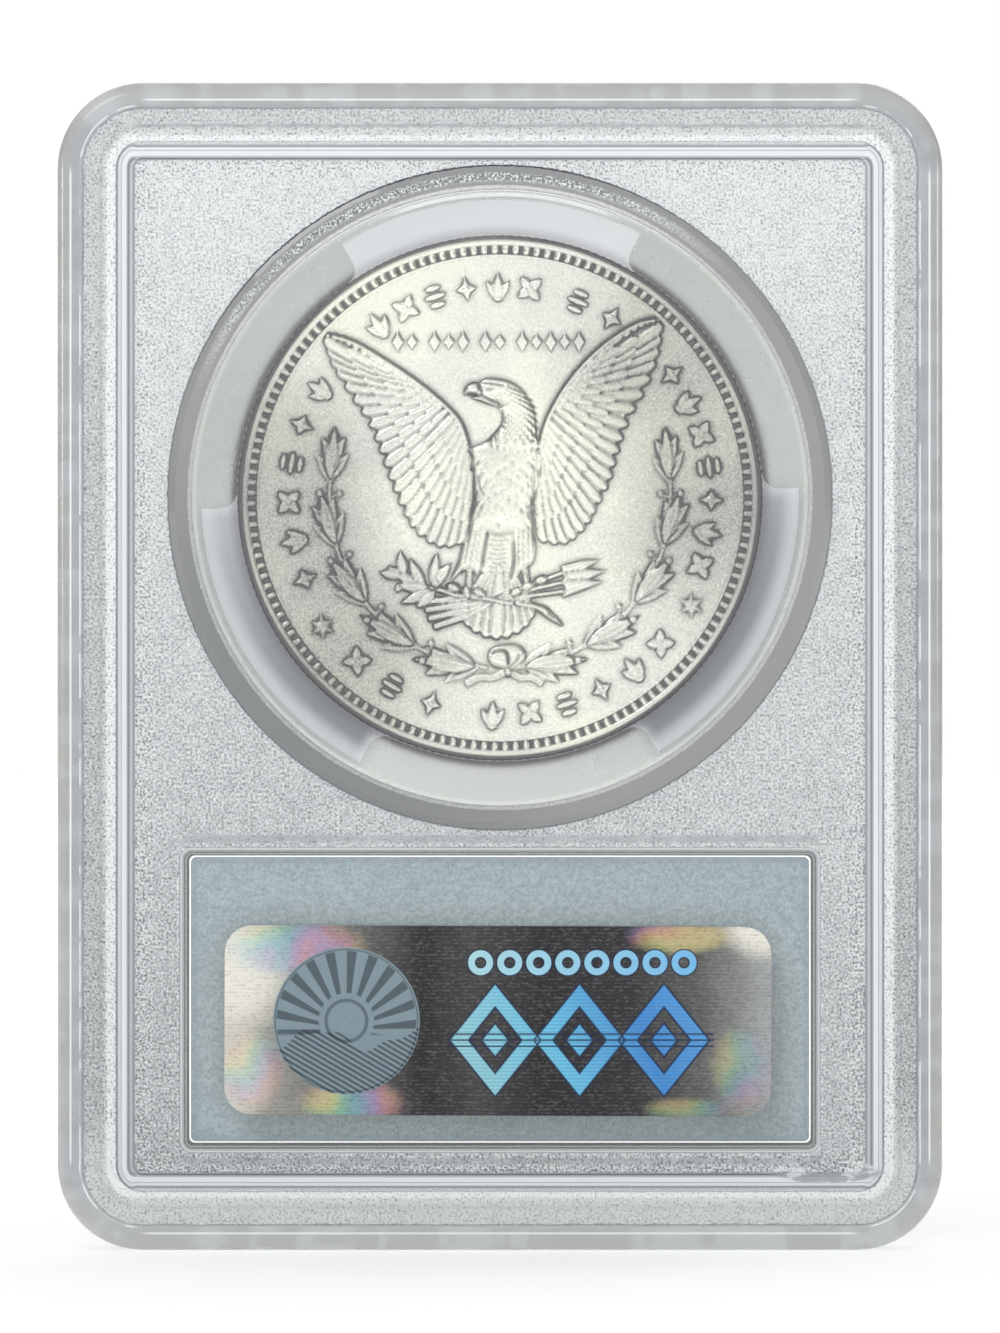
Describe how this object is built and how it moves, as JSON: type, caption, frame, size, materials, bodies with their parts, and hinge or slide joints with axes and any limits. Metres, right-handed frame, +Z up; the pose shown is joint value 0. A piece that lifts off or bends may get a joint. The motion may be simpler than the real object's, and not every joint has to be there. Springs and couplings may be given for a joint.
{
  "type": "graded coin slab",
  "caption": "Sealed clear and frosted plastic holder for one large silver coin, with a label pocket and a foil sticker on its back.",
  "frame": {"origin": "middle of the lower edge, on the surface that the slab stands on", "axes": "+Z up along the slab's height, +X across its width, +Y through its thickness from the stickered back to the front"},
  "size_m": [0.064, 0.0076, 0.0844],
  "materials": {
    "shell_plastic": "clear polished plastic with finely frosted panels and rim",
    "insert_plastic": "milky clear, glossy",
    "coin_silver": "uncirculated silver with cartwheel lustre",
    "label_paper": "smooth uncoated card",
    "sticker_foil": "embossed rainbow foil"
  },
  "bodies": {
    "root": {"back_shell": "shell_plastic", "front_shell": "shell_plastic", "coin_insert_ring": "insert_plastic", "coin": "coin_silver", "label_card": "label_paper", "security_sticker": "sticker_foil"}
  },
  "joints": []
}
